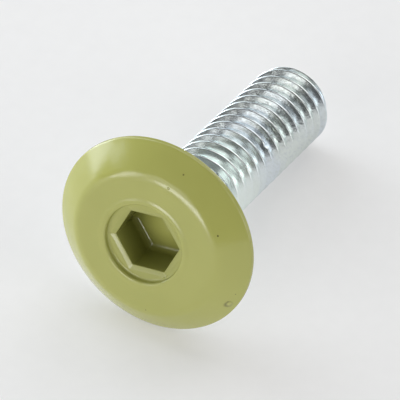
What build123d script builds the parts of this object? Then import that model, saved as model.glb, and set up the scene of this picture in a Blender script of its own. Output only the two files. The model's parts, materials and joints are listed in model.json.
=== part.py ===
from build123d import *
from math import atan2, ceil, cos, floor, radians, sin, tan
import os

# A countersunk socket screw, M6 x 20: a wide head with a raised, bevelled crown over a 90 degree
# countersunk seat, a hexagon socket for a 4 mm key, and a shank threaded up to its neck. It is one
# piece. It is built upright about the Z axis, drive face up, with z = 0 where the crown's bevel
# meets the rim, and is then laid down as it comes to rest: on its rim and its last thread, drive
# face towards -Y, with the middle of its footprint at the origin.

# Driving dimensions, in millimetres and degrees

head_diameter = 14.4
rim_width = 0.3  # the narrow straight band at the head's widest place
crown_height = 1.63  # from the rim up to the drive face
face_diameter = 10.6  # where the drive face and the bevel would meet in a sharp corner
face_edge_radius = 1.0
seat_angle = 90.0  # the included angle of the countersunk underside

socket_size = 4.15  # across the flats
socket_depth = 3.0  # from the drive face to the floor
socket_floor_radius = 0.45
socket_turn = 38.0  # from the X axis to a corner, seen from the drive face
recess_diameter = 5.9  # the shallow round recess in which the socket opens
recess_depth = 0.4
recess_edge = 0.15  # the bevel round the recess's edge

nominal_length = 20.0  # from the rim's underside to the tip
thread_diameter = 5.9
thread_pitch = 1.0
thread_angle = 60.0
thread_phase = -6.09  # the height at which a thread crest crosses the X axis
runout_length = 1.0  # over which the groove grows shallow below the neck
neck_diameter = 5.3
neck_length = 0.7
tip_diameter = 4.6
tip_angle = 45.0  # between the tip's chamfer and the axis

# Sizes that follow from these

head_radius = head_diameter / 2
neck_radius = neck_diameter / 2
thread_radius = thread_diameter / 2
neck_top = -rim_width - (head_radius - neck_radius) / tan(radians(seat_angle / 2))
neck_bottom = neck_top - neck_length
tip = -rim_width - nominal_length
tip_chamfer_top = tip + (thread_radius - tip_diameter / 2) / tan(radians(tip_angle))
socket_floor = crown_height - socket_depth

# The thread's flanks form a triangle, sharp at the root and cut back by an eighth of its height at
# the crest. The groove is cut in a rod that is longer than the shank at both ends, and its two
# helices follow on from each other.

triangle_height = thread_pitch / 2 / tan(radians(thread_angle / 2))
thread_depth = triangle_height * (1 - 1 / 8)
root_radius = thread_radius - thread_depth
cutter_radius = thread_radius + thread_depth / 12
cutter_width = 2 * (cutter_radius - root_radius) * tan(radians(thread_angle / 2))
groove_bottom = thread_phase - thread_pitch * (ceil((thread_phase - tip) / thread_pitch) + 1.5)
groove_turns = ceil((neck_bottom - groove_bottom) / thread_pitch) + 2
groove_middle = groove_bottom + thread_pitch * (groove_turns // 2)
groove_top = groove_bottom + thread_pitch * groove_turns
rod_length = groove_top - groove_bottom + 4 * thread_pitch

# At rest the screw touches the ground with the back edge of its rim and with a thread near its tip,
# and leans by rest_angle: either the last crest of full height touches, or the one after it, which
# the tip's chamfer has cut. Its reach is measured along the ground, from below the point where its
# axis crosses the plane of z = 0.


def lean(radius, height):
    return atan2(head_radius - radius, -rim_width - height)


crest_width = thread_pitch / 8
first_crest = thread_phase + thread_pitch / 2 + crest_width / 2
full_crest = first_crest - thread_pitch * floor((first_crest - tip_chamfer_top) / thread_pitch)
cut_crest = full_crest - thread_pitch
flank_slope = 1 / tan(radians(thread_angle / 2))
chamfer_slope = tan(radians(tip_angle))
cut_height = cut_crest * flank_slope + tip_chamfer_top * chamfer_slope
cut_height /= flank_slope + chamfer_slope
cut_radius = thread_radius - (cut_height - cut_crest) * flank_slope
full_height = max(full_crest - crest_width, tip_chamfer_top)
rest_angle = min(lean(thread_radius, full_height), lean(cut_radius, cut_height))
rest_height = head_radius * cos(rest_angle) + rim_width * sin(rest_angle)
bevel_angle = atan2(crown_height, head_radius - face_diameter / 2)
edge_centre = face_diameter / 2 - face_edge_radius * tan(bevel_angle / 2)
front_reach = edge_centre * sin(rest_angle) + (crown_height - face_edge_radius) * cos(rest_angle)
front_reach += face_edge_radius
back_reach = tip_diameter / 2 * sin(rest_angle) - tip * cos(rest_angle)
resting_plane = Plane(
    origin=(0, (front_reach - back_reach) / 2, rest_height),
    x_dir=(0, sin(rest_angle), cos(rest_angle)),
    z_dir=(0, -cos(rest_angle), sin(rest_angle)),
)

with BuildPart() as groove_cutter:
    with BuildLine():
        Helix(thread_pitch, groove_middle - groove_bottom, root_radius, (0, 0, groove_bottom))
        Helix(thread_pitch, groove_top - groove_middle, root_radius, (0, 0, groove_middle))
    with BuildSketch(Plane.XZ):
        with BuildLine():
            Polyline(
                (root_radius, groove_bottom),
                (cutter_radius, groove_bottom + cutter_width / 2),
                (cutter_radius, groove_bottom - cutter_width / 2),
                close=True,
            )
        make_face()
    sweep(is_frenet=True)

with BuildPart() as upright_screw:
    # threaded rod, cut to the shank's length with a chamfered tip and, at the neck, a cone whose
    # upper part lies inside the head
    with Locations((0, 0, (groove_bottom + groove_top) / 2)):
        Cylinder(thread_radius, rod_length)
    add(groove_cutter.part, mode=Mode.SUBTRACT)
    with BuildSketch(Plane.XZ):
        with BuildLine():
            Polyline(
                (0, neck_bottom + neck_radius),
                (cutter_radius, neck_bottom - (cutter_radius - neck_radius)),
                (cutter_radius, tip + (cutter_radius - tip_diameter / 2) / tan(radians(tip_angle))),
                (tip_diameter / 2, tip),
                (0, tip),
                close=True,
            )
        make_face()
    revolve(mode=Mode.INTERSECT)

    # head and neck, with a cone below them that closes the end of the groove
    with BuildSketch(Plane.XZ) as head_profile:
        with BuildLine():
            Polyline(
                (0, crown_height),
                (face_diameter / 2, crown_height),
                (head_radius, 0),
                (head_radius, -rim_width),
                (neck_radius, neck_top),
                (neck_radius, neck_bottom),
                (root_radius * 0.97, neck_bottom - runout_length),
                (0, neck_bottom - runout_length),
                close=True,
            )
        make_face()
        face_corner = (face_diameter / 2, crown_height)
        fillet(head_profile.vertices().sort_by_distance(face_corner)[0], face_edge_radius)
    revolve()

    # hexagon socket, rounded where its walls meet the floor, in a recess with a bevelled edge
    with BuildSketch(Plane.XY.offset(crown_height)):
        RegularPolygon(socket_size / 2, 6, major_radius=False, rotation=socket_turn)
    extrude(amount=-socket_depth, mode=Mode.SUBTRACT)
    floor_edges = upright_screw.faces().sort_by_distance((0, 0, socket_floor))[0].edges()
    fillet(floor_edges, socket_floor_radius)
    with BuildSketch(Plane.XY.offset(crown_height)):
        Circle(recess_diameter / 2)
    extrude(amount=-recess_depth, mode=Mode.SUBTRACT)
    circles = upright_screw.edges().filter_by(GeomType.CIRCLE)
    recess_edges = circles.sort_by_distance((recess_diameter / 2, 0, crown_height))
    chamfer(recess_edges[0], recess_edge)

with BuildPart(resting_plane) as screw:
    add(upright_screw.part)

screw.part.label = "screw"
os.makedirs("parts", exist_ok=True)
export_step(screw.part, "parts/screw.step")
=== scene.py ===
"""A countersunk socket screw on a pale table: an olive enamelled head, a zinc-plated shank.

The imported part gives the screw's place and lean. Both pieces are modelled here upright, in
millimetres about the screw's own axis, with z = 0 where the head's bevel meets its rim and
turns counted from the side that faces up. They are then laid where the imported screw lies.
"""

import json
from math import atan2, cos, degrees, pi, radians, sin, tan

import bpy
import numpy as np
from mathutils import Matrix, Vector


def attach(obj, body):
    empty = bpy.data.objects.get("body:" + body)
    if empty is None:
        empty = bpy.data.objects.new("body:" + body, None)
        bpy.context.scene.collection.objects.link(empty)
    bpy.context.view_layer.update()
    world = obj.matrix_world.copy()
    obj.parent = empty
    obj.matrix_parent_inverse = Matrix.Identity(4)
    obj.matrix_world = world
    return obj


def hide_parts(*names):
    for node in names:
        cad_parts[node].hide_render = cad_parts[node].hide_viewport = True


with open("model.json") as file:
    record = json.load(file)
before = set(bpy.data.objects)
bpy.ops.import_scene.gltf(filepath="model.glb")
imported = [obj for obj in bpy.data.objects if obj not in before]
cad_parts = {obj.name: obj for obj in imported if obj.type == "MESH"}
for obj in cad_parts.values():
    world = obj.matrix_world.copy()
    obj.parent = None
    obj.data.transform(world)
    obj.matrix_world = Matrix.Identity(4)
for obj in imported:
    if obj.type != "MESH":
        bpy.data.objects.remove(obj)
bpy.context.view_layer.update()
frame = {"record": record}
MM = 0.001

# The head, in millimetres and degrees

HEAD_RADIUS = 7.2
RIM_WIDTH = 0.3
RIM_EDGE_RADIUS = 0.18
CROWN_HEIGHT = 1.63
FACE_RADIUS = 5.3
FACE_EDGE_RADIUS = 1.3
BEVEL_DOME = 4.5  # degrees by which the bevel is steeper at the rim and flatter at the face
SEAT_ANGLE = 90.0

COAT_THICKNESS = 0.03
COAT_WRAP = 0.5  # how far the enamel reaches round the rim onto the seat
# where the enamel ends: distance out from its end, and depth below its surface
COAT_EDGE = ((-0.25, 0.35), (0, COAT_THICKNESS), (0.06, 0.012), (0.12, 0))
# waves round the screw, their height and their phase in degrees
COAT_EDGE_WAVES = ((3, 0.06, 20), (7, 0.05, 130), (17, 0.03, 70), (31, 0.02, 10))

# The recess in the face and the hexagon socket at its bottom

RECESS_RADIUS = 2.93
RECESS_DEPTH = 0.4
RECESS_EDGE_RADIUS = 0.14
RECESS_FLOOR_RADIUS = 0.14
RECESS_DISH = 0.02  # how much deeper the recess's floor is at the hexagon
RECESS_DISH_CURVE = 1.5
RECESS_OVAL = 0.09  # the recess is stamped a little out of round, by this much and this way
RECESS_OVAL_TURN = -21.0
RECESS_LEAN = 0.08
RECESS_LEAN_TURN = 88.0
STAMP_SHIFT = 0.07  # how far the recess and the socket are off the axis
STAMP_SHIFT_TURN = 100.0

BEAD_HEIGHT = 0.07  # the enamel stands up round the recess
BEAD_LEAST = 0.35  # share of that height on the side that faces down
BEAD_WIDTH = 0.19
BEAD_OFFSET = 0.3
BEAD_TURN = -10.0

SOCKET_SIZE = 4.15
SOCKET_DEPTH = 3.03
SOCKET_TURN = 38.0
SOCKET_CORNER_RADIUS = 0.1
SOCKET_LIP_RADIUS = 0.07
SOCKET_FLOOR_RADIUS = 0.45
SLOPE_WIDTH = 0.34  # a shallow slope from the recess down to each side of the hexagon
SLOPE_ANGLE = 20.0

# The shank

NOMINAL_LENGTH = 20.0
NECK_RADIUS = 2.65
NECK_LENGTH = 0.7
NECK_CORNER_RADIUS = 0.3
TIP_RADIUS = 2.3
TIP_EDGE_RADIUS = 0.1
STEEL_INSET = 0.15  # how far the steel's own edge stays inside the enamelled rim
STEEL_EDGE_RADIUS = 0.02
STEEL_SLOPE = (0.3, 0.1)  # the hidden slope inside that edge: its width and depth

THREAD_RADIUS = 2.95
THREAD_PITCH = 1.0
THREAD_ANGLE = 60.0
THREAD_PHASE = -6.09
CREST_EDGE_RADIUS = 0.05
ROOT_ROUNDING = 0.12
RUNOUT_LENGTH = 1.0
SHOULDER_BLEND = 0.08  # how softly the thread meets the neck, its runout and the tip's chamfer
RUNOUT_BLEND = 0.06
CHAMFER_BLEND = 0.08
NICKS = ((-48, -11.25, 0.16, 0.14),)  # turn, height, depth and size of dents in the crest

# Sizes that follow from these

BEVEL_ANGLE = degrees(atan2(CROWN_HEIGHT, HEAD_RADIUS - FACE_RADIUS))
LEDGE = CROWN_HEIGHT - RECESS_DEPTH  # the recess's floor, where it meets the wall
SOCKET_FLOOR = CROWN_HEIGHT - SOCKET_DEPTH
SEAT_SLOPE = tan(radians(SEAT_ANGLE / 2))
NECK_TOP = -RIM_WIDTH - (HEAD_RADIUS - NECK_RADIUS) / SEAT_SLOPE
NECK_BOTTOM = NECK_TOP - NECK_LENGTH
THREAD_START = NECK_BOTTOM - 0.02  # just past the neck's last ring
TIP = -RIM_WIDTH - NOMINAL_LENGTH
CREST_HALF = THREAD_PITCH / 16  # half of the crest's flat, as on a standard thread
FLANK_TURN = radians(90 - THREAD_ANGLE / 2)  # from the axis' direction to the flank
FLANK_SLOPE = tan(FLANK_TURN)
SHARP_ROOT = THREAD_RADIUS - (THREAD_PITCH / 2 - CREST_HALF) * FLANK_SLOPE
CORE_TOP = SOCKET_FLOOR - 0.25  # where the steel's piece begins, inside the head
HEAD_BACK = CORE_TOP - 0.2  # where the head's piece ends, a little inside the steel's
CORE_RINGS = (0.6, 3.0)  # radii of the rings on those two hidden faces

# How finely the meshes are divided: columns round them, and points along each stretch

COLUMNS_PER_FLAT = 64  # round the head, for each flat of the socket
CORNER_CROWDING = 0.7  # how much closer the columns stand at the socket's corners
THREAD_COLUMNS = 120
THREAD_ROW = 0.0215  # millimetres between two rows of the thread
POINTS = {
    "rim": 2,
    "rim edge": 8,
    "bevel": 22,
    "face edge": 24,
    "face": 30,
    "recess edge": 12,
    "recess corner": 9,
    "recess floor": 10,
    "slope": 7,
    "lip": 9,
    "wall": 15,
    "socket corner": 15,
    "socket floor": 12,
    "steel edge": 3,
    "seat": 30,
    "neck corner": 9,
    "neck": 3,
    "tip edge": 7,
    "tip": 10,
}
RIM_JOIN = 2  # the point of the bevel up to which the rim's edge is rounded
SOCKET_LAST_RING = 0.06  # the smallest ring's share of the radius where the floor begins
TIP_LAST_RING = 0.1

# The finishes. A spot is a distance from the axis, a turn, a height and a size.

ENAMEL_LIGHT = (0.395, 0.398, 0.110)
ENAMEL_DEEP = (0.350, 0.356, 0.090)
SOCKET_PAINTED_SHADE = (0.19, 0.195, 0.04)  # painted shade: the enamel is painted darker on the socket's walls
ENAMEL_IOR = 1.6
POOL_ROUGHNESS = 0.1  # the enamel has run together on the socket's floor
# where the socket's walls get the painted shade, and the floor that is kept out of it
SOCKET_SHADE_SPOT = (0, 0, -1.2, 4)
SOCKET_FLOOR_UNSHADED = (0, 0, -2.6, 2.6)
SOCKET_POOL = (0, 0, SOCKET_FLOOR, 2.6)
SPECK_COLOUR = (0.06, 0.055, 0.02)
SPECKS = (
    (6.33, -17.3, 0.75, 0.11),
    (6.24, -32.7, 0.82, 0.07),
    (5.77, -61.8, 1.23, 0.1),
    (4.69, -93.5, 1.63, 0.06),
    (6.79, -105.9, 0.35, 0.06),
    (4.18, 101.9, 1.63, 0.07),
    (5.05, -172.5, 1.6, 0.06),
    (3.62, -42.6, 1.65, 0.07),
    (6.62, -113.2, 0.5, 0.07),
)
SPECK_RAGGEDNESS = 0.12
PIMPLES = ((5.18, -13.3, 1.6, 0.1), (6.73, -115.2, 0.4, 0.3))
CHIP = (6.73, -115.2, 0.4, 0.4)  # a dark hollow, and the crumb of enamel in it
CHIP_CRUMB = (6.80, -114.7, 0.34, 0.31)
CHIP_COLOUR = (0.17, 0.165, 0.045)
SPOT_CORE = 0.4  # share of a spot's size within which it is full

ZINC_LIGHT = (0.71, 0.765, 0.81)
ZINC_WARM = (0.73, 0.78, 0.755)
ZINC_GREY = (0.63, 0.68, 0.69)
ZINC_PAINTED_LIGHT = (0.86, 0.93, 0.905)
ZINC_GRAZING = (0.84, 0.87, 0.91)  # where it is seen edge on
NECK_LIGHT_AND_SMOOTH_SPOT = (0, 0, -3.5, 9)  # painted light: the zinc next to the head is painted paler; it is also smoother
NECK_ROUGHNESS = 0.25
NECK_RELIEF = 0.08
WORN_SPOT = (6, -50, -15, 6.5)  # and that near the tip is the most marked
WORN_RELIEF = 1.0

# Heights of the relief, in metres
PEEL_HEIGHT = 0.000008
PIMPLE_HEIGHT = 0.00006
MARK_HEIGHT = 0.0000045
PIT_HEIGHT = 0.000028

# Noise: frequency per metre, detail and roughness
ENAMEL_CLOUDS = (330, 2, 0.5)
ENAMEL_PEEL = (1500, 2, 0.5)
SPECK_WOBBLE = (900, 2, 0.5)
ZINC_CLOUDS = (4200, 4, 0.6)
ZINC_TINTS = (260, 1, 0.5)
ZINC_MOTTLE = (3600, 3, 0.6)
ZINC_PATCHES = (420, 2, 0.5)
ZINC_PITS = (3000, 2, 0.5)
ZINC_MARKS = (1, 3, 0.6)  # this one on the map of the surface
MARK_SCALE = (3.0, 9.0, 1.0)  # marks in a turn round the axis, and in a millimetre along it
TABLE_GRAIN = (900, 3, 0.5)

# What a noise between two values becomes: low and high, and the two results
ENAMEL_ROUGHNESS = (0.3, 0.7, 0.17, 0.23)
ZINC_CLOUD_SHARE = (0.42, 0.78, 0, 1)
ZINC_TINT_SHARE = (0.4, 0.6, 0, 1)
ZINC_ROUGHNESS = (0.35, 0.65, 0.18, 0.26)
ZINC_RELIEF = (0.42, 0.58, 0.06, 0.18)

# The table, the light and the camera, in metres and degrees

TABLE_HALF_SIZE = 1.2
TABLE_LIGHT = (0.54, 0.535, 0.53)
TABLE_GREY = (0.51, 0.505, 0.50)
TABLE_ROUGHNESS = 0.7
TABLE_GLOW = 0.320  # a translucent table, lit a little from below
TABLE_GLOW_COLOUR = (1, 0.995, 0.985, 1)

LIGHT_DISTANCE = 0.5
SOFT_BOXES = {  # azimuth, elevation, width, height and watts
    "ceiling": (-170, 72, 0.36, 0.26, 0.32),
    "ceiling_back": (175, 48, 0.4, 0.24, 0.58),
    "right_high": (90, 42, 0.34, 0.2, 0.32),
    "left_near": (-97, 8, 0.18, 0.18, 1.27),
    "window": (-78, 10, 0.11, 0.2, 0.29),
    "window_top": (-68, 26, 0.08, 0.1, 0.067),
    "front_left": (-35, 12, 0.12, 0.22, 0.37),
    "front": (-4, 9, 0.26, 0.16, 0.80),
    "front_high": (-8, 30, 0.28, 0.18, 0.25),
    "right": (90, 14, 0.24, 0.24, 0.57),
    "left_wall": (-113, 34, 0.34, 0.5, 1.27),
    "back": (170, 14, 0.3, 0.24, 0.41),
}
DAYLIGHT_BOXES = ("left_wall", "left_near", "window", "window_top")
DAYLIGHT = (0.88, 0.94, 1.0)
ROOM_COLOUR = (1, 1, 1, 1)
ROOM_STRENGTH = 0.100

CAMERA_AZIMUTH = 28.649
CAMERA_ELEVATION = 45.04
CAMERA_TO_RIM = (-2.9154, -2.2753, 409.526)  # millimetres to the rim's centre: right, up, ahead
CAMERA_CLIP = (0.01, 10)
SENSOR_WIDTH = 36
FOCAL_PIXELS = 6135.7
FRAME_PIXELS = 400

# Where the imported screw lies

mounts = {m["name"]: m for m in frame["record"]["mounts"]}
mouth = Vector(mounts["drive_socket"]["pos_m"])
AXIS = Vector(mounts["drive_socket"]["axis"]).normalized()
UP = (Vector(mounts["drive_face"]["pos_m"]) - mouth).normalized()
RIM_CENTRE = mouth - CROWN_HEIGHT * MM * AXIS
SIDE = AXIS.cross(UP)


def lay_down(points):
    """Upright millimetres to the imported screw's place in metres."""
    axes = np.array([UP, SIDE, AXIS])
    return points @ axes * MM + np.array(RIM_CENTRE)


def link(obj):
    bpy.context.scene.collection.objects.link(obj)
    return obj


# Meshes


def mesh_object(name, radius, height, angles, material, shift=0):
    """A closed surface from rings, with its ends brought to a point.

    radius and height are by ring and column, and shift is each ring's way off the axis.
    """
    rings, columns = radius.shape
    shift = np.broadcast_to(shift, (rings, 2))
    x = radius * np.cos(angles) + shift[:, :1]
    y = radius * np.sin(angles) + shift[:, 1:]
    ring_points = np.stack([x, y, height], axis=-1).reshape(-1, 3)
    ends = np.array([[*shift[0], height[0].mean()], [*shift[-1], height[-1].mean()]])
    points = lay_down(np.vstack([ring_points, ends]))
    first, last = rings * columns, rings * columns + 1
    faces = []
    for j in range(columns):
        k = (j + 1) % columns
        faces.append((first, k, j))
        faces.append((last, (rings - 1) * columns + j, (rings - 1) * columns + k))
    for i in range(rings - 1):
        row, below = i * columns, (i + 1) * columns
        faces += [
            (row + j, row + (j + 1) % columns, below + (j + 1) % columns, below + j)
            for j in range(columns)
        ]
    mesh = bpy.data.meshes.new(name)
    mesh.from_pydata(points.tolist(), [], faces)
    mesh.polygons.foreach_set("use_smooth", [True] * len(mesh.polygons))
    mesh.materials.append(material)
    wrap_map(mesh, angles, height)
    return link(bpy.data.objects.new(name, mesh))


def wrap_map(mesh, angles, height):
    """A map of the surface: turns round the axis, and height in millimetres."""
    columns = len(angles)
    turns = np.append(np.tile(angles, len(height)) / (2 * pi), [0, 0])
    levels = np.append(height.ravel(), [height[0].mean(), height[-1].mean()])
    corners = np.empty(len(mesh.loops), int)
    mesh.loops.foreach_get("vertex_index", corners)
    u, v = turns[corners] % 1, levels[corners]

    # a face in the last column ends at a whole turn, and not back at 0
    sides = np.empty(len(mesh.polygons), int)
    mesh.polygons.foreach_get("loop_total", sides)
    face = np.repeat(np.arange(len(sides)), sides)
    highest = np.zeros(len(sides))
    np.maximum.at(highest, face, u)
    in_last_column = highest[face] > 1 - 1.5 / columns
    u = np.where(in_last_column & (u < 0.5), u + 1, u)
    layer = mesh.uv_layers.new(name="wrap")
    layer.data.foreach_set("uv", np.stack([u, v], 1).ravel())


# Profiles


def shares(stretch):
    """From 0 to 1, without the 0, which is the last point of the stretch before."""
    return np.linspace(0, 1, POINTS[stretch])[1:]


def quarter(stretch):
    """A quarter turn, without its first point."""
    return np.linspace(0, pi / 2, POINTS[stretch])[1:]


def inwards(radius, last_share, stretch):
    """Radii from one that is already there in to a share of it."""
    return [radius * s for s in np.linspace(1, last_share, POINTS[stretch])[1:]]


def arc(centre, radius, start, end, points):
    """Points along an arc in the half-plane of radius and height, from start to end degrees."""
    turns = np.radians(np.linspace(start, end, points))
    return [(centre[0] + radius * cos(t), centre[1] + radius * sin(t)) for t in turns]


def line(start, end, points):
    """Points along a line, without its ends."""
    (x0, y0), (x1, y1) = start, end
    return [(x0 + s * (x1 - x0), y0 + s * (y1 - y0)) for s in np.linspace(0, 1, points + 2)[1:-1]]


def corner_arc(before, corner, after, radius, points):
    """The arc that rounds a corner between two straight lines."""
    a, b, c = (np.array(p, float) for p in (before, corner, after))
    u, v = (a - b) / np.linalg.norm(a - b), (c - b) / np.linalg.norm(c - b)
    half = np.arccos(np.clip(u @ v, -1, 1)) / 2
    reach = radius / tan(half)
    centre = b + (u + v) / np.linalg.norm(u + v) * radius / sin(half)
    start, end = b + u * reach - centre, b + v * reach - centre
    t0, t1 = atan2(start[1], start[0]), atan2(end[1], end[0])
    turn = (t1 - t0 + pi) % (2 * pi) - pi
    return arc(centre, radius, degrees(t0), degrees(t0 + turn), points)


def rounded_outline(corners, radii, arc_points, line_points):
    """Points along a line through corners, each rounded by its radius where it has one.

    arc_points are for each corner, and line_points for each line between two.
    """
    points = [corners[0]]
    for i in range(1, len(corners)):
        rounding = [corners[i]]
        if radii[i]:
            rounding = corner_arc(*corners[i - 1 : i + 2], radii[i], arc_points[i])
        points += line(points[-1], rounding[0], line_points[i - 1]) + rounding
    return points


def level(height, angles):
    return np.full(len(angles), height)


def round_rows(outline, angles):
    """Points of an outline as rows that are the same all round."""
    return [(level(r, angles), level(z, angles)) for r, z in outline]


def wavy(angles, waves):
    """A smooth irregular line round the screw."""
    return sum(height * np.sin(count * angles + radians(phase)) for count, height, phase in waves)


def soft_min(a, b, width):
    """The lesser of two values, rounded where they meet."""
    h = np.clip(0.5 + 0.5 * (b - a) / width, 0, 1)
    return b * (1 - h) + a * h - width * h * (1 - h)


def soft_max(a, b, width):
    return -soft_min(-a, -b, width)


# The enamelled head


def head_columns():
    """Angles round the head, closer together at the socket's corners."""
    s = np.linspace(-1, 1, COLUMNS_PER_FLAT + 1)[:-1]
    within = radians(30) * (s + CORNER_CROWDING * np.sin(pi * s) / pi)
    flats = [radians(SOCKET_TURN + 30 + 60 * k) + within for k in range(6)]
    return np.concatenate(flats)


def on_seat(radius, depth):
    """A point at a depth below the enamel on the seat, which goes on under the whole head."""
    return radius, depth - RIM_WIDTH - (HEAD_RADIUS - radius) / SEAT_SLOPE


def crown_outline():
    """The crown from the rim to the face: a bevel that is a little domed, then a rounded edge."""
    steep, flat = radians(BEVEL_ANGLE + BEVEL_DOME), radians(BEVEL_ANGLE - BEVEL_DOME)
    climb = CROWN_HEIGHT - FACE_EDGE_RADIUS * (1 - cos(flat))
    dome = climb / (cos(flat) - cos(steep))
    centre = (HEAD_RADIUS - dome * sin(steep), -dome * cos(steep))
    bevel = arc(centre, dome, 90 - degrees(steep), 90 - degrees(flat), POINTS["bevel"])
    end = bevel[-1]
    centre = (end[0] - FACE_EDGE_RADIUS * sin(flat), end[1] - FACE_EDGE_RADIUS * cos(flat))
    edge = arc(centre, FACE_EDGE_RADIUS, 90 - degrees(flat), 90, POINTS["face edge"])
    return bevel + edge[1:]


def outer_rows(angles):
    """From the hidden back over the enamel's edge, round the rim and up to the face."""
    coat_end = HEAD_RADIUS - COAT_WRAP - wavy(angles, COAT_EDGE_WAVES)
    crown = crown_outline()
    rim = rounded_outline(
        [
            on_seat(HEAD_RADIUS - COAT_WRAP / 2, 0),
            (HEAD_RADIUS, -RIM_WIDTH),
            (HEAD_RADIUS, 0),
            crown[RIM_JOIN],
        ],
        radii=[0, RIM_EDGE_RADIUS, RIM_EDGE_RADIUS, 0],
        arc_points=[0, POINTS["rim edge"], POINTS["rim edge"], 0],
        line_points=[POINTS["rim"], POINTS["rim"], 1],
    )
    back = round_rows([(r, HEAD_BACK) for r in CORE_RINGS], angles)
    coat_edge = [on_seat(coat_end + outwards, depth) for outwards, depth in COAT_EDGE]
    return back + coat_edge + round_rows(rim + crown[RIM_JOIN + 1 :], angles)


def recess_radius(angles):
    oval = RECESS_OVAL * np.cos(2 * (angles - radians(RECESS_OVAL_TURN)))
    return RECESS_RADIUS + oval + RECESS_LEAN * np.cos(angles - radians(RECESS_LEAN_TURN))


def bead(radius, angles):
    """Height of the enamel's bead round the recess, at each distance from the axis."""
    turned = np.cos(angles - radians(BEAD_TURN))
    height = BEAD_HEIGHT * (BEAD_LEAST + (1 - BEAD_LEAST) * np.clip(turned, 0, 1) ** 0.5)
    middle = recess_radius(angles) + BEAD_OFFSET
    return height * np.exp(-(((radius - middle) / BEAD_WIDTH) ** 2))


def face_rows(angles, outer):
    """Across the face and its bead to the edge of the recess."""
    edge = recess_radius(angles) + RECESS_EDGE_RADIUS
    radii = [outer + s * (edge - outer) for s in shares("face")]
    return [(r, CROWN_HEIGHT + bead(r, angles)) for r in radii]


def recess_rows(angles):
    """Over the edge of the recess, down its wall and across its floor."""
    recess = recess_radius(angles)
    edge = recess + RECESS_EDGE_RADIUS
    rows = []
    for t in quarter("recess edge"):
        r = edge - RECESS_EDGE_RADIUS * sin(t)
        drop = RECESS_EDGE_RADIUS * (1 - cos(t))
        rows.append((r, CROWN_HEIGHT + bead(r, angles) * cos(t) - drop))
    for t in (0, *quarter("recess corner")):
        r = recess - RECESS_FLOOR_RADIUS * (1 - cos(t))
        rows.append((r, level(LEDGE + RECESS_FLOOR_RADIUS * (1 - sin(t)), angles)))
    start = recess - RECESS_FLOOR_RADIUS
    end = hexagon_radius(angles, SOCKET_SIZE / 2 + SLOPE_WIDTH)
    for s in shares("recess floor"):
        dip = RECESS_DISH * s**RECESS_DISH_CURVE
        rows.append((start + s * (end - start), level(LEDGE - dip, angles)))
    return rows


def hexagon_radius(angles, apothem):
    """Distance from the axis to a hexagon with rounded corners, at each angle."""
    turn = np.abs((angles - radians(SOCKET_TURN)) % (pi / 3) - pi / 6)
    flat_end = (apothem - SOCKET_CORNER_RADIUS) * tan(pi / 6)
    on_flat = apothem / np.cos(turn)
    centre_x, centre_y = apothem - SOCKET_CORNER_RADIUS, flat_end
    along = np.cos(turn) * centre_x + np.sin(turn) * centre_y
    inside = along**2 - centre_x**2 - centre_y**2 + SOCKET_CORNER_RADIUS**2
    on_arc = along + np.sqrt(np.maximum(inside, 0))
    return np.where(apothem * np.tan(turn) < flat_end, on_flat, on_arc)


def socket_outline():
    """Half of the hexagon's size and height: down the slope, over the lip and to the floor."""
    half = SOCKET_SIZE / 2
    outer, inner = half + SLOPE_WIDTH, half + SOCKET_LIP_RADIUS
    top = LEDGE - RECESS_DISH
    fall = (outer - inner) * tan(radians(SLOPE_ANGLE))
    outline = [(outer + s * (inner - outer), top - fall * s) for s in shares("slope")]
    top -= fall
    for t in quarter("lip"):
        apothem = half + SOCKET_LIP_RADIUS * (1 - sin(t))
        outline.append((apothem, top - SOCKET_LIP_RADIUS * (1 - cos(t))))
    top -= SOCKET_LIP_RADIUS
    bottom = SOCKET_FLOOR + SOCKET_FLOOR_RADIUS
    outline += [(half, top + s * (bottom - top)) for s in shares("wall")]
    for t in quarter("socket corner"):
        apothem = half - SOCKET_FLOOR_RADIUS * (1 - cos(t))
        outline.append((apothem, bottom - SOCKET_FLOOR_RADIUS * sin(t)))
    return outline


def painted_head(material):
    """The enamelled head, from its hidden back to the middle of the socket's floor."""
    angles = head_columns()
    outer = outer_rows(angles)
    face = face_rows(angles, crown_outline()[-1][0])
    socket = [(hexagon_radius(angles, a), level(z, angles)) for a, z in socket_outline()]
    radii = inwards(socket[-1][0], SOCKET_LAST_RING, "socket floor")
    floor = [(r, level(SOCKET_FLOOR, angles)) for r in radii]
    inner = recess_rows(angles) + socket + floor

    # what is stamped in the head is off its axis, and the face goes over from one to the other
    share = [*[0] * len(outer), *shares("face"), *[1] * len(inner)]
    turn = radians(STAMP_SHIFT_TURN)
    shift = np.outer(share, (STAMP_SHIFT * cos(turn), STAMP_SHIFT * sin(turn)))
    radius, height = (np.array(part) for part in zip(*outer, *face, *inner))
    return mesh_object("painted_head", radius, height, angles, material, shift)


# The zinc-plated seat, neck and thread


def seat_outline():
    """From inside the head out to the steel's edge, and down the seat and the neck."""
    edge = HEAD_RADIUS - STEEL_INSET
    slope_width, slope_depth = STEEL_SLOPE
    return rounded_outline(
        [
            *((r, CORE_TOP) for r in CORE_RINGS),
            (edge - slope_width, COAT_THICKNESS - RIM_WIDTH - slope_depth),
            on_seat(edge, COAT_THICKNESS),
            (NECK_RADIUS, NECK_TOP + COAT_THICKNESS),
            (NECK_RADIUS, NECK_BOTTOM),
        ],
        radii=[0, 0, 0, STEEL_EDGE_RADIUS, NECK_CORNER_RADIUS, 0],
        arc_points=[0, 0, 0, POINTS["steel edge"], POINTS["neck corner"], 0],
        line_points=[1, 1, 1, POINTS["seat"], POINTS["neck"]],
    )


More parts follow.
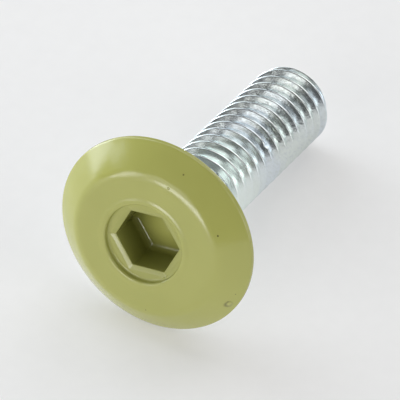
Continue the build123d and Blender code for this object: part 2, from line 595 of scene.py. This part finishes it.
def thread_profile(from_crest):
    """Radius of the thread at a distance along the axis from its crest's middle."""
    slant = radians(THREAD_ANGLE / 2)
    radius = THREAD_RADIUS - np.maximum(from_crest - CREST_HALF, 0) * FLANK_SLOPE

    # the root is an arc between the flanks
    from_root = THREAD_PITCH / 2 - from_crest
    centre = SHARP_ROOT + ROOT_ROUNDING / sin(slant)
    bowl = centre - np.sqrt(np.maximum(ROOT_ROUNDING**2 - from_root**2, 0))
    radius = np.where(from_root < ROOT_ROUNDING * cos(slant), bowl, radius)

    # and each edge of the crest is an arc from its flat to the flank
    start = CREST_HALF - CREST_EDGE_RADIUS * tan(FLANK_TURN / 2)
    end = start + CREST_EDGE_RADIUS * sin(FLANK_TURN)
    into = np.clip(from_crest - start, 0, CREST_EDGE_RADIUS)
    crown = THREAD_RADIUS - CREST_EDGE_RADIUS + np.sqrt(CREST_EDGE_RADIUS**2 - into**2)
    return np.where((from_crest > start) & (from_crest < end), crown, radius)


def thread_surface(angles):
    """Radius and height of the threaded length, by row and column."""
    end = TIP + TIP_EDGE_RADIUS
    z = np.linspace(THREAD_START, end, int((THREAD_START - end) / THREAD_ROW))[:, None]
    crest = THREAD_PHASE + THREAD_PITCH * angles[None, :] / (2 * pi)
    cycle = (z - crest) / THREAD_PITCH
    thread = thread_profile(np.abs((cycle + 0.5) % 1 - 0.5) * THREAD_PITCH)
    for turn, height, depth, size in NICKS:
        along = ((angles - radians(turn) + pi) % (2 * pi) - pi)[None, :] * THREAD_RADIUS
        thread = thread - depth * np.exp(-(along**2 + (z - height) ** 2) / size**2)

    # it grows out of the neck, its groove runs out there on a cone, and the tip is chamfered
    past_neck = np.maximum(NECK_BOTTOM - z, 0)
    runout = NECK_RADIUS - past_neck * ((NECK_RADIUS - SHARP_ROOT) / RUNOUT_LENGTH)
    thread = soft_min(thread, NECK_RADIUS + past_neck, SHOULDER_BLEND)
    thread = soft_max(thread, runout, RUNOUT_BLEND)
    radius = soft_min(thread, TIP_RADIUS + (z - TIP), CHAMFER_BLEND)
    return radius, np.broadcast_to(z, radius.shape)


def tip_outline(radius):
    """Round from a radius into the tip's end face."""
    edge = TIP + TIP_EDGE_RADIUS
    outline = [
        (radius - TIP_EDGE_RADIUS * (1 - cos(t)), edge - TIP_EDGE_RADIUS * sin(t))
        for t in quarter("tip edge")
    ]
    return outline + [(r, TIP) for r in inwards(outline[-1][0], TIP_LAST_RING, "tip")]


def zinc_shank(material):
    """The bare zinc, from its hidden top inside the head to the middle of the tip."""
    angles = np.linspace(0, 2 * pi, THREAD_COLUMNS, endpoint=False)
    thread, levels = thread_surface(angles)
    seat = round_rows(seat_outline(), angles)
    tip = round_rows(tip_outline(thread[-1].mean()), angles)
    radius = np.vstack([*(r for r, _ in seat), thread, *(r for r, _ in tip)])
    height = np.vstack([*(z for _, z in seat), levels, *(z for _, z in tip)])
    return mesh_object("zinc_shank", radius[::-1], height[::-1], angles, material)


# Materials


def new_material(name):
    """A material, its shader, and the place of each point in metres."""
    material = bpy.data.materials.new(name)
    material.use_nodes = True
    nodes = material.node_tree.nodes
    return material, nodes["Principled BSDF"], nodes.new("ShaderNodeTexCoord").outputs["Object"]


def connect(output, node, name):
    node.id_data.links.new(output, node.inputs[name])


def noise(vector, texture):
    """A noise texture, by its frequency, detail and roughness."""
    node = vector.id_data.nodes.new("ShaderNodeTexNoise")
    for name, number in zip(("Scale", "Detail", "Roughness"), texture):
        node.inputs[name].default_value = number
    connect(vector, node, "Vector")
    return node.outputs["Fac"]


def remap(value, spread):
    """A smooth step between two results, as the value goes from low to high."""
    node = value.id_data.nodes.new("ShaderNodeMapRange")
    node.interpolation_type = "SMOOTHSTEP"
    for name, number in zip(("From Min", "From Max", "To Min", "To Max"), spread):
        node.inputs[name].default_value = number
    connect(value, node, "Value")
    return node.outputs["Result"]


def mix(share, first, second):
    """Between two colours or two numbers. The first may come from a node, the second is set."""
    node = share.id_data.nodes.new("ShaderNodeMix")
    kind = "Color" if isinstance(second, tuple) else "Float"
    node.data_type = {"Color": "RGBA", "Float": "FLOAT"}[kind]
    sockets = {socket.identifier: socket for socket in (*node.inputs, *node.outputs)}
    links = share.id_data.links
    links.new(share, sockets["Factor_Float"])
    for end, value in (("A", first), ("B", second)):
        if isinstance(value, bpy.types.NodeSocket):
            links.new(value, sockets[f"{end}_{kind}"])
        else:
            sockets[f"{end}_{kind}"].default_value = (*value, 1) if kind == "Color" else value
    return sockets[f"Result_{kind}"]


def bump(height, distance, strength=1.0, normal=None):
    """Relief of a height in metres, over the relief that normal has already."""
    node = height.id_data.nodes.new("ShaderNodeBump")
    node.inputs["Distance"].default_value = distance
    connect(height, node, "Height")
    if isinstance(strength, float):
        node.inputs["Strength"].default_value = strength
    else:
        connect(strength, node, "Strength")
    if normal:
        connect(normal, node, "Normal")
    return node.outputs["Normal"]


def near(position, spot):
    """1 in the middle of a spot and 0 outside it."""
    radius, turn, height, size = spot
    middle = np.array([radius * cos(radians(turn)), radius * sin(radians(turn)), height])
    node = position.id_data.nodes.new("ShaderNodeVectorMath")
    node.operation = "DISTANCE"
    node.inputs[1].default_value = tuple(lay_down(middle))
    connect(position, node, 0)
    return remap(node.outputs["Value"], (SPOT_CORE * (size * MM), size * MM, 1, 0))


def enamel_material():
    """Olive enamel, a little clouded, with specks and a chip, and painted shade on the socket's
    walls.
    """
    material, shader, position = new_material("olive_enamel")
    cloud = noise(position, ENAMEL_CLOUDS)
    colour = mix(cloud, ENAMEL_LIGHT, ENAMEL_DEEP)
    # painted shade on the socket's walls; the socket's floor is kept out of it
    colour = mix(near(position, SOCKET_SHADE_SPOT), colour, SOCKET_PAINTED_SHADE)
    colour = mix(near(position, SOCKET_FLOOR_UNSHADED), colour, ENAMEL_LIGHT)

    # specks and the chip have ragged edges
    ragged = material.node_tree.nodes.new("ShaderNodeVectorMath")
    ragged.operation = "MULTIPLY_ADD"
    ragged.inputs[1].default_value = (SPECK_RAGGEDNESS * MM,) * 3
    connect(noise(position, SPECK_WOBBLE), ragged, 0)
    connect(position, ragged, 2)
    spots = [(speck, SPECK_COLOUR) for speck in SPECKS]
    spots += [(CHIP, CHIP_COLOUR), (CHIP_CRUMB, ENAMEL_LIGHT)]
    for spot, spot_colour in spots:
        colour = mix(near(ragged.outputs[0], spot), colour, spot_colour)
    connect(colour, shader, "Base Color")

    roughness = remap(cloud, ENAMEL_ROUGHNESS)
    roughness = mix(near(position, SOCKET_POOL), roughness, POOL_ROUGHNESS)
    connect(roughness, shader, "Roughness")
    normal = bump(noise(position, ENAMEL_PEEL), PEEL_HEIGHT)
    for pimple in PIMPLES:
        normal = bump(near(position, pimple), PIMPLE_HEIGHT, normal=normal)
    connect(normal, shader, "Normal")
    shader.inputs["IOR"].default_value = ENAMEL_IOR
    return material


def zinc_material():
    """Bright zinc, mottled, painted paler next to the head, with rolling marks along the thread
    and fine pits.
    """
    material, shader, position = new_material("bright_zinc")
    # next to the head the zinc is painted paler, a painted light, and made smoother
    neck = near(position, NECK_LIGHT_AND_SMOOTH_SPOT)
    tint = remap(noise(position, ZINC_TINTS), ZINC_TINT_SHARE)
    colour = mix(tint, ZINC_LIGHT, ZINC_WARM)
    cloud = remap(noise(position, ZINC_CLOUDS), ZINC_CLOUD_SHARE)
    colour = mix(cloud, colour, ZINC_GREY)
    connect(mix(neck, colour, ZINC_PAINTED_LIGHT), shader, "Base Color")
    roughness = remap(noise(position, ZINC_MOTTLE), ZINC_ROUGHNESS)
    connect(mix(neck, roughness, NECK_ROUGHNESS), shader, "Roughness")
    shader.inputs["Specular Tint"].default_value = (*ZINC_GRAZING, 1)
    shader.inputs["Metallic"].default_value = 1.0

    # the rolling marks run along the thread, and the pits lie over them
    nodes = material.node_tree.nodes
    wrap = nodes.new("ShaderNodeUVMap")
    wrap.uv_map = "wrap"
    along = nodes.new("ShaderNodeMapping")
    along.inputs["Scale"].default_value = MARK_SCALE
    connect(wrap.outputs["UV"], along, "Vector")
    relief = remap(noise(position, ZINC_PATCHES), ZINC_RELIEF)
    relief = mix(near(position, WORN_SPOT), relief, WORN_RELIEF)
    relief = mix(neck, relief, NECK_RELIEF)
    normal = bump(noise(along.outputs["Vector"], ZINC_MARKS), MARK_HEIGHT, relief)
    normal = bump(noise(position, ZINC_PITS), PIT_HEIGHT, relief, normal)
    connect(normal, shader, "Normal")
    return material


def table_material():
    material, shader, position = new_material("pale_table")
    colour = mix(noise(position, TABLE_GRAIN), TABLE_LIGHT, TABLE_GREY)
    connect(colour, shader, "Base Color")
    shader.inputs["Roughness"].default_value = TABLE_ROUGHNESS
    shader.inputs["Emission Color"].default_value = TABLE_GLOW_COLOUR
    shader.inputs["Emission Strength"].default_value = TABLE_GLOW
    return material


# The table, the light and the camera


def table():
    s = TABLE_HALF_SIZE
    mesh = bpy.data.meshes.new("table")
    mesh.from_pydata([(-s, -s, 0), (s, -s, 0), (s, s, 0), (-s, s, 0)], [], [(0, 1, 2, 3)])
    mesh.materials.append(table_material())
    obj = link(bpy.data.objects.new("table", mesh))


def direction(azimuth, elevation):
    """Azimuth in degrees from the drive face's side towards +X."""
    a, e = radians(azimuth), radians(elevation)
    return Vector((sin(a) * cos(e), -cos(a) * cos(e), sin(e)))


def soft_box(name, azimuth, elevation, width, height, watts):
    """A rectangular light that faces the screw."""
    data = bpy.data.lights.new(name, "AREA")
    data.shape = "RECTANGLE"
    data.size, data.size_y = width, height
    data.energy = watts
    if name in DAYLIGHT_BOXES:
        data.color = DAYLIGHT
    obj = link(bpy.data.objects.new(name, data))
    obj.location = direction(azimuth, elevation) * LIGHT_DISTANCE
    obj.rotation_euler = (-obj.location).to_track_quat("-Z", "Y").to_euler()


def light():
    world = bpy.data.worlds.new("room")
    world.use_nodes = True
    background = world.node_tree.nodes["Background"]
    background.inputs["Color"].default_value = ROOM_COLOUR
    background.inputs["Strength"].default_value = ROOM_STRENGTH
    bpy.context.scene.world = world
    for name, placing in SOFT_BOXES.items():
        soft_box(name, *placing)


def camera():
    """The camera that took the photo, placed from where it sees the rim's centre."""
    data = bpy.data.cameras.new("camera")
    data.sensor_width = SENSOR_WIDTH
    data.lens = FOCAL_PIXELS / FRAME_PIXELS * data.sensor_width
    data.clip_start, data.clip_end = CAMERA_CLIP
    obj = link(bpy.data.objects.new("camera", data))
    back = direction(CAMERA_AZIMUTH, CAMERA_ELEVATION)
    right = Vector((0, 0, 1)).cross(back).normalized()
    up = back.cross(right)
    obj.rotation_euler = Matrix((right, up, back)).transposed().to_euler()
    x, y, ahead = (MM * d for d in CAMERA_TO_RIM)
    obj.location = RIM_CENTRE - x * right - y * up + ahead * back
    bpy.context.scene.camera = obj


head = painted_head(enamel_material())
shank = zinc_shank(zinc_material())
for piece, slot in ((head, "enamel"), (shank, "zinc_steel")):
    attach(piece, "root")
    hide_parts("screw")
table()
light()
camera()
bpy.context.scene.view_settings.view_transform = "Standard"
